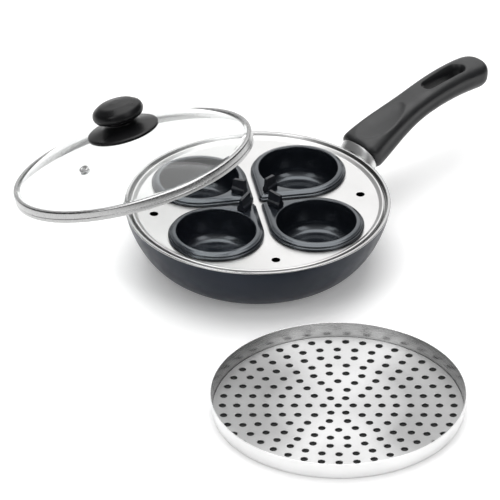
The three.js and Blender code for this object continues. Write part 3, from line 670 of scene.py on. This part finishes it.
def handle_form():
    # Closer stations at both ends, where the handle is rounded
    shares = [0.04 * (i / 8) ** 2 for i in range(8)]
    shares += [0.04 + 0.88 * i / 70 for i in range(70)]
    shares += [0.92 + 0.08 * (1 - (1 - i / 24) ** 2) for i in range(25)]
    verts, rows = [], []
    for t in shares:
        span = t * HANDLE_LENGTH
        tip = max(0, 1 - (HANDLE_LENGTH - span) / HANDLE_TIP_LENGTH)
        shoulder = max(0, 1 - span / HANDLE_SHOULDER)
        blunted = (1 - (1 - HANDLE_TIP_BLUNT ** 3) * tip ** 3) ** (1 / 3)
        rounding = blunted * (1 - HANDLE_SHOULDER_CUT * shoulder ** 2)
        full = handle_size(t, HANDLE_HEIGHTS)
        width = handle_size(t, HANDLE_WIDTHS) * rounding
        height = full * (HANDLE_TIP_KEPT + (1 - HANDLE_TIP_KEPT) * rounding)
        nose = (1 - blunted) * (1 - HANDLE_TIP_KEPT) * HANDLE_NOSE_LIFT * full / 2
        centre = handle_point(t) + Vector((0, 0, nose))
        rows.append(list(range(len(verts), len(verts) + OVAL_STEPS)))
        for i in range(OVAL_STEPS):
            angle = 2 * math.pi * (i + 0.5) / OVAL_STEPS
            point = oval(centre, handle_direction(t), width, height, angle, HANDLE_SQUARENESS)
            verts.append(hand_moulded(point, centre, t, width, height))
    faces = stitch(rows, False)
    return verts, faces + [list(rows[0]), list(reversed(rows[-1]))]


def slot_form():
    """The hanging slot, in levels of (height, flare): it flares where it meets the handle's faces."""
    levels = [
        (40, 4.5), (52, 3.2), (54, 1.6), (56, 0.5), (58, 0),
        (71.5, 0), (73.5, 0.5), (75.5, 1.7), (77, 3.4), (90, 7),
    ]
    steps = 24
    verts, rows = [], []
    for height, grow in levels:
        half = SLOT_WIDTH / 2 + grow
        rows.append(list(range(len(verts), len(verts) + 2 * steps + 2)))
        for middle, turn in ((SLOT_END - SLOT_WIDTH / 2, -90), (SLOT_START + SLOT_WIDTH / 2, 90)):
            for i in range(steps + 1):
                angle = math.radians(turn + 180 * i / steps)
                verts.append((middle + half * math.cos(angle), half * math.sin(angle), height))
    return verts, stitch(rows, False) + [list(reversed(rows[0])), list(rows[-1])]


def settled(obj):
    """The object's mesh with its modifiers applied."""
    depsgraph = bpy.context.evaluated_depsgraph_get()
    mesh = bpy.data.meshes.new_from_object(obj.evaluated_get(depsgraph))
    verts = [tuple(v.co / MM) for v in mesh.vertices]
    faces = [list(p.vertices) for p in mesh.polygons]
    bpy.data.meshes.remove(mesh)
    return verts, faces


def carved_handle():
    body = added("handle_body", mesh_of("handle_body", handle_form()))
    cutter = added("handle_cutter", mesh_of("handle_cutter", slot_form()))
    cut = body.modifiers.new("slot", "BOOLEAN")
    cut.operation, cut.object, cut.solver = "DIFFERENCE", cutter, "EXACT"
    remesh = body.modifiers.new("even", "REMESH")
    remesh.mode, remesh.voxel_size = "VOXEL", HANDLE_VOXEL * MM
    soften = body.modifiers.new("soften", "SMOOTH")
    soften.factor, soften.iterations = 0.5, 8
    form = settled(body)
    for obj in (body, cutter):
        bpy.data.objects.remove(obj)
    return form


piece("handle_grip", carved_handle(), "pan", ["handle"], [handle_plastic], sharp=180)


# Poaching plate
def plate_form():
    crest = PLATE_TOP + BEAD_RISE + BEAD_RADIUS
    flat_end, outer = BEAD_MIDDLE - RAMP_REACH, BEAD_MIDDLE + BEAD_RADIUS
    edge = rounded([
        (flat_end, PLATE_TOP), (BEAD_MIDDLE - RAMP_FLAT, PLATE_TOP),
        (BEAD_MIDDLE - RAMP_FOOT, PLATE_TOP, 1.4), (BEAD_MIDDLE, crest, 0.7), (outer, crest, 1.0),
        (outer, SEAT_LEVEL, 0.8), (flat_end, SEAT_LEVEL),
    ])
    holes = []
    for i in range(CUP_COUNT):
        cup = math.radians(PLATE_TURN + 360 / CUP_COUNT * i)
        steam = cup + math.pi / CUP_COUNT
        x, y = CUP_CIRCLE * math.cos(cup), CUP_CIRCLE * math.sin(cup)
        holes.append((x, y, CUP_HOLE_RADIUS, CUP_HOLE_STEPS))
        x, y = STEAM_CIRCLE * math.cos(steam), STEAM_CIRCLE * math.sin(steam)
        holes.append((x, y, STEAM_RADIUS, STEAM_HOLE_STEPS))
    return pierced_sheet(edge, holes, PLATE_TOP, SEAT_LEVEL, ease=0.2)


piece("poaching_plate", plate_form(), "plate", ["insert_plate"], [plate_metal])


# Egg cups
def outline_radius(angle, inset):
    """Distance from the bowl's axis to the teardrop's edge, at an angle from the pan's outward direction."""
    turn = abs(angle)
    main, tip = FLANGE_RADIUS - inset, max(0, TIP_RADIUS - inset)
    away = CUP_CIRCLE - TIP_CENTRE
    tip_start = math.atan2(tip * math.sin(TIP_ANGLE), tip * math.cos(TIP_ANGLE) - away)
    if turn <= TIP_ANGLE:
        return main
    if turn <= tip_start:
        return main / math.cos(turn - TIP_ANGLE)
    lean = -away * math.cos(turn)
    return lean + math.sqrt(lean * lean - away * away + tip * tip)


def cup_rows():
    """Rows of (kind, value, height) from the middle of the floor, up over the flange and back underneath.

    The value of a round row is its radius, and that of an edge row is its inset from the teardrop.
    """
    floor_radius = CUP_OPENING - CUP_BEND
    pad = CUP_FLOOR + FLOOR_PAD_RISE
    rows = [("round", 0, pad), ("round", PAD_RADIUS, pad)]
    rows += [("round", floor_radius - 3.5, CUP_FLOOR + 0.4), ("round", floor_radius - 2, CUP_FLOOR)]
    for i in range(10):
        a = math.radians(10 * i)
        radius = floor_radius + CUP_BEND * math.sin(a)
        rows.append(("round", radius, CUP_FLOOR + CUP_BEND * (1 - math.cos(a))))
    rows += [("round", CUP_OPENING, z) for z in (*CUP_WALL_LEVELS, FLANGE_TOP - 1.6)]
    for i in range(1, 7):
        a = math.radians(15 * i)
        radius = CUP_OPENING + OPENING_ROUND * (1 - math.cos(a))
        rows.append(("round", radius, FLANGE_TOP - OPENING_ROUND * (1 - math.sin(a))))
    edge = FLANGE_STEP + FLANGE_ROUND
    for i in range(6):
        share = i / 5
        inset = edge + CROWN_WIDTH * (1 - share)
        rows.append(("edge", inset, FLANGE_TOP - FLANGE_CROWN * share * share))
    for i in range(2, 7):
        a = math.radians(15 * i)
        height = FLANGE_TOP - FLANGE_CROWN - FLANGE_ROUND * (1 - math.cos(a))
        rows.append(("edge", edge - FLANGE_ROUND * math.sin(a), height))
    rows += [("edge", FLANGE_STEP, STEP_TOP + 0.5), ("edge", FLANGE_STEP - 0.15, STEP_TOP + 0.15)]
    rows += [("edge", FLANGE_STEP - 0.45, STEP_TOP), ("edge", 0.25, STEP_TOP - 0.08)]
    rows += [("edge", 0, STEP_TOP - 0.35), ("edge", 0, FLANGE_BOTTOM + 0.2), ("edge", 0.2, FLANGE_BOTTOM)]
    under = FLANGE_STEP + CUP_WALL
    rows += [("edge", under, FLANGE_BOTTOM), ("edge", under, FLANGE_TOP - CUP_WALL)]
    outer = CUP_OPENING + CUP_WALL
    rows += [("round", outer, FLANGE_TOP - CUP_WALL), ("round", outer, CUP_OUTER_LEVEL)]
    grown = CUP_BEND + CUP_WALL
    for i in range(9, -1, -1):
        a = math.radians(10 * i)
        radius = floor_radius + grown * math.sin(a)
        rows.append(("round", radius, CUP_FLOOR + CUP_BEND - grown * math.cos(a)))
    underside = CUP_FLOOR - CUP_WALL
    return rows + [("round", PAD_RADIUS, underside), ("round", 0, underside)]


def cup_form():
    # Closer steps at the teardrop's tip
    half = [TIP_ANGLE * i / 34 for i in range(35)]
    half += [TIP_ANGLE + (TIP_FINE_ANGLE - TIP_ANGLE) * i / 14 for i in range(1, 15)]
    half += [TIP_FINE_ANGLE + (math.pi - TIP_FINE_ANGLE) * i / 8 for i in range(1, 9)]
    angles = half + [-a for a in reversed(half[1:-1])]
    verts, numbers = [], []
    for kind, value, height in cup_rows():
        if kind == "round" and value == 0:
            numbers.append([len(verts)])
            verts.append((CUP_CIRCLE, 0, height))
            continue
        numbers.append(list(range(len(verts), len(verts) + len(angles))))
        for angle in angles:
            radius = value if kind == "round" else outline_radius(angle, value)
            verts.append((CUP_CIRCLE + radius * math.cos(angle), radius * math.sin(angle), height))
    return verts, stitch(numbers, False)


cup_shape = cup_form()
for i in range(CUP_COUNT):
    turn = Matrix.Rotation(math.radians(PLATE_TURN + 360 / CUP_COUNT * i), 4, "Z")
    number = i + 1
    piece(f"poaching_cup_{number}", cup_shape, f"cup_{number}",
          [f"egg_cup_{number}"], [non_stick], place=turn)


# Lid
def dome_top(radius):
    return DOME_APEX - DOME_RADIUS + math.sqrt(DOME_RADIUS ** 2 - radius ** 2)


def glass_form():
    stations = [GLASS_HOLE + (DOME_FOOT - GLASS_HOLE) * i / 40 for i in range(41)]
    over = [(r, dome_top(r)) for r in reversed(stations)]
    under = [(r, dome_top(r) - GLASS_THICKNESS) for r in stations]
    glass_top = GLASS_BOTTOM + GLASS_THICKNESS
    edge = rounded([under[-1], (GLASS_EDGE, GLASS_BOTTOM, 0.5), (GLASS_EDGE, glass_top, 0.5), over[0]])[1:-1]
    return lathe(edge + over + under, FINE, True)


def band_form():
    wall = LID_RADIUS - BAND_WALL
    over = BAND_HEIGHT - BAND_WALL
    under = GLASS_BOTTOM - SEAT_GAP
    ledge = under - BAND_WALL
    groove = BAND_GROOVE_DEPTH
    return lathe(rounded([
        (wall, 0, 0.3), (LID_RADIUS, 0, 0.4), (LID_RADIUS, BAND_GROOVE - groove, 0.3),
        (LID_RADIUS - groove, BAND_GROOVE, 0.3), (LID_RADIUS, BAND_GROOVE + groove, 0.3),
        (LID_RADIUS, BAND_HEIGHT, 1.6), (BAND_INNER, BAND_HEIGHT, 0.3),
        (BAND_INNER, over, 0.3), (wall, over), (wall, under), (BAND_INNER, under, 0.2),
        (BAND_INNER, ledge, 0.2), (wall, ledge),
    ]), FINE, True)


def knob_form():
    """From the socket for the insert, out over the skirt, in at the neck and up over the head."""
    return lathe(rounded([
        (0, 44), (4.9, 44), (4.9, 35.7), (9.4, 35.7), (9.4, dome_top(9.4) + SEAT_GAP),
        (27.1, 32.1, 0.5), (27.8, 32.6, 0.4), (27.8, 34.3, 0.6), (26.4, 35.0, 0.8),
        (15.5, 37.9, 8), (11.2, 41.0, 4), (13.4, 42.9, 3), (18.6, 44.6, 4), (20.3, 48.2, 4),
        (19.1, 52.3, 5), (13.5, 55.8, 10), (4, 57.1, 8), (0, 57.2),
    ]), MEDIUM)


def vent_form():
    low_bottom, low_top, high_bottom, high_top = VENT_LEVELS
    return lathe(rounded([
        (VENT_BORE, low_bottom, 0.2), (VENT_RADIUS, low_bottom, 0.4), (VENT_RADIUS, low_top, 0.3),
        (VENT_NECK, low_top), (VENT_NECK, high_bottom), (VENT_RADIUS, high_bottom, 0.2),
        (VENT_RADIUS - 0.2, high_top, 0.5), (VENT_BORE, high_top, 0.5),
    ]), MEDIUM, True)


VENT_PLACE = (
    LID_PLACE @ Matrix.Rotation(VENT_TURN, 4, "Z")
    @ Matrix.Translation(Vector((VENT_CIRCLE, 0, dome_top(VENT_CIRCLE))) * MM)
    @ Matrix.Rotation(math.asin(VENT_CIRCLE / DOME_RADIUS), 4, "Y")
)

dome = piece("lid_dome", glass_form(), "lid", ["lid_glass"], [glass], place=LID_PLACE)
dome.visible_shadow = False
piece("lid_hoop", band_form(), "lid", ["lid_band"], [band_metal], place=LID_PLACE)
piece("lid_handle", knob_form(), "lid", ["lid_knob"], [knob_plastic], place=LID_PLACE)
piece("steam_vent", vent_form(), "lid", ["vent_eyelet"], [polished], place=VENT_PLACE)


# Tray
def tray_rim_form():
    top, foot = TRAY_RADIUS + TRAY_FLARE, TRAY_RADIUS - TRAY_SHEET
    return lathe(rounded([
        (TRAY_FLANGE_INNER, 0, 0.2), (TRAY_RADIUS, 0, TRAY_BEND), (top, TRAY_HEIGHT, 0.35),
        (top - TRAY_SHEET, TRAY_HEIGHT, 0.35), (foot, TRAY_SHEET), (TRAY_FLANGE_INNER, TRAY_SHEET, 0.2),
    ]), FINE, True)


def tray_rim_paint(middle):
    """The rim is brushed inside; outside it takes a lighter copy of the same steel, a painted highlight that
    keeps the outer wall white.
    """
    sheet_middle = TRAY_RADIUS - TRAY_SHEET / 2 + TRAY_FLARE * middle.z / TRAY_HEIGHT
    return 1 if math.hypot(middle.x, middle.y) > sheet_middle else 0


def tray_floor_form():
    holes = [(0, 0, TRAY_HOLE_RADIUS, TRAY_HOLE_STEPS)]
    radius = TRAY_OUTER_RING
    while radius > TRAY_RING_STEP:
        count = 2 * round(math.pi * radius / TRAY_HOLE_PITCH)
        for i in range(count):
            angle = 2 * math.pi * i / count
            x, y = radius * math.cos(angle), radius * math.sin(angle)
            holes.append((x, y, TRAY_HOLE_RADIUS, TRAY_HOLE_STEPS))
        radius -= TRAY_RING_STEP
    bottom = TRAY_FLOOR_TOP - TRAY_SHEET
    eased = TRAY_FLOOR_EDGE - TRAY_EASE
    edge = [
        (eased - COLLAR, TRAY_FLOOR_TOP), (eased, TRAY_FLOOR_TOP),
        (TRAY_FLOOR_EDGE, TRAY_FLOOR_TOP - TRAY_EASE), (TRAY_FLOOR_EDGE, bottom + TRAY_EASE),
        (eased, bottom), (eased - COLLAR, bottom),
    ]
    return pierced_sheet(edge, holes, TRAY_FLOOR_TOP, bottom, ease=0.15)


piece("tray_hoop", tray_rim_form(), "tray", ["tray_rim"], [brushed_rim, rim_painted_highlight],
      place=TRAY_PLACE, paint=tray_rim_paint)
piece("tray_sheet", tray_floor_form(), "tray", ["tray_floor"], [tray_metal], place=TRAY_PLACE)


# CAD nodes that show as they are
def dress(name, look, ease=0.0):
    obj = nodes[name]
    obj.data.materials.clear()
    obj.data.materials.append(look)
    if ease:
        bevel = obj.modifiers.new("eased_edges", "BEVEL")
        bevel.width, bevel.segments = ease * MM, 3
        bevel.limit_method, bevel.angle_limit = "ANGLE", math.radians(25)


dress("handle_stud", plated)
dress("handle_bolt", plated)
dress("knob_insert", brass)
dress("knob_screw", plated)
dress("knob_washer", plated)
dress("knob_seal", seal_rubber)
for i in range(CUP_COUNT):
    dress(f"cup_grip_{i + 1}", grip_plastic, ease=0.45)
    dress(f"grip_rivet_{i + 1}", plated)


# Studio, in metres. RIGHT and AWAY are those of the camera's view
VIEW_TURN = math.radians(44)
RIGHT = Vector((math.cos(VIEW_TURN), -math.sin(VIEW_TURN), 0))
AWAY = Vector((math.sin(VIEW_TURN), math.cos(VIEW_TURN), 0))
UP = Vector((0, 0, 1))
MIDDLE = Vector((0, 0, 0.04))


def from_view(right, away, up):
    return RIGHT * right + AWAY * away + UP * up


def area_light(name, position, size, size_y, power):
    """A soft light that points at the pan and isn't seen itself."""
    data = bpy.data.lights.new(name, "AREA")
    data.shape, data.size, data.size_y, data.energy = "RECTANGLE", size, size_y, power
    obj = added(name, data)
    obj.location = position
    obj.rotation_euler = (MIDDLE - position).to_track_quat("-Z", "Y").to_euler()
    obj.visible_camera = False


area_light("back_softbox", from_view(0, 1.9, 1.5), size=2.6, size_y=1.6, power=11)
area_light("top_softbox", from_view(0, 0.4, 2.2), size=2.0, size_y=2.2, power=36)
area_light("left_softbox", from_view(-1.3, -1.2, 1.7), size=0.9, size_y=1.3, power=8)
area_light("right_softbox", from_view(1.3, -1.2, 1.7), size=0.9, size_y=1.3, power=8)

# The world is bright overhead and behind, and dark towards both sides and the front
SIDE_FADE = (0.2, 0.7, 1.0, 0.05)
FRONT_FADE = (-0.9, -0.4, 0.15, 1.0)
WORLD_STRENGTH = 0.7
world = bpy.data.worlds.new("studio")
bpy.context.scene.world = world
world.use_nodes = True
sky = Nodes(world.node_tree)
backdrop = sky.tree.nodes["Background"]
backdrop.inputs["Color"].default_value = (1, 1, 1, 1)


def reach_along(axis):
    """How far a direction of the world points along an axis, from -1 to 1."""
    made = sky.node("ShaderNodeVectorMath", operation="DOT_PRODUCT")
    made.inputs[1].default_value = axis
    sky.link(sky.node("ShaderNodeTexCoord").outputs["Generated"], made.inputs[0])
    return made.outputs["Value"]


sides = sky.fade(sky.calc("ABSOLUTE", reach_along(RIGHT)), *SIDE_FADE)
front = sky.fade(reach_along(AWAY), *FRONT_FADE)
strength = sky.calc("MULTIPLY", sky.calc("MULTIPLY", sides, front), WORLD_STRENGTH)
sky.link(strength, backdrop.inputs["Strength"])


def stage_look(name, colour, roughness, **values):
    look = Look(name, colour, roughness, **values)
    look.vary_roughness(look.noise(STAGE_SMEARS, 2), 0.03)
    return look.material


# The floor lies just under the pan and the tray
HALF_FLOOR = 4.0
FLOOR_DROP = 0.0002
corners = ((-1, -1), (1, -1), (1, 1), (-1, 1))
floor_corners = [(x * HALF_FLOOR, y * HALF_FLOOR, -FLOOR_DROP) for x, y in corners]
floor_mesh = bpy.data.meshes.new("studio_floor")
floor_mesh.from_pydata(floor_corners, [], [(0, 1, 2, 3)])
floor_mesh.materials.append(
    stage_look("studio_floor", grey(0.93), 0.6, Emission_Color=(1, 1, 1, 1), Emission_Strength=0.2))
studio_floor = added("studio_floor", floor_mesh)

# A black card under the tray is painted shade: it keeps the light floor out of the tray's holes, so they
# look dark
shade_card_mesh = mesh_of("painted_shade_card", lathe([(0, SHADE_CARD_LEVEL), (SHADE_CARD_RADIUS, SHADE_CARD_LEVEL)], FINE))
shade_card_mesh.materials.append(stage_look("painted_shade_card", grey(0.006), 0.8))
painted_shade_card = added("painted_shade_card", shade_card_mesh)
painted_shade_card.matrix_world = TRAY_PLACE
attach(painted_shade_card, "tray")

# Camera, as solved from the photograph
ELEVATION = math.radians(32.689)
CAMERA_DISTANCE = 6.0
LENS = 559.06
SENSOR = 36
AIM_RIGHT = -0.005716
AIM_UP = -0.037732
view_up = AWAY * math.sin(ELEVATION) + UP * math.cos(ELEVATION)
aim = UP * (PAN_HEIGHT * MM) + RIGHT * AIM_RIGHT + view_up * AIM_UP
toward = AWAY * -math.cos(ELEVATION) + UP * math.sin(ELEVATION)
camera_data = bpy.data.cameras.new("camera")
camera_data.lens, camera_data.sensor_width = LENS, SENSOR
camera_data.clip_end = 30
camera = added("camera", camera_data)
camera.location = aim + toward * CAMERA_DISTANCE
camera.rotation_euler = (-toward).to_track_quat("-Z", "Y").to_euler()
bpy.context.scene.camera = camera

bpy.context.scene.view_settings.view_transform = "Standard"
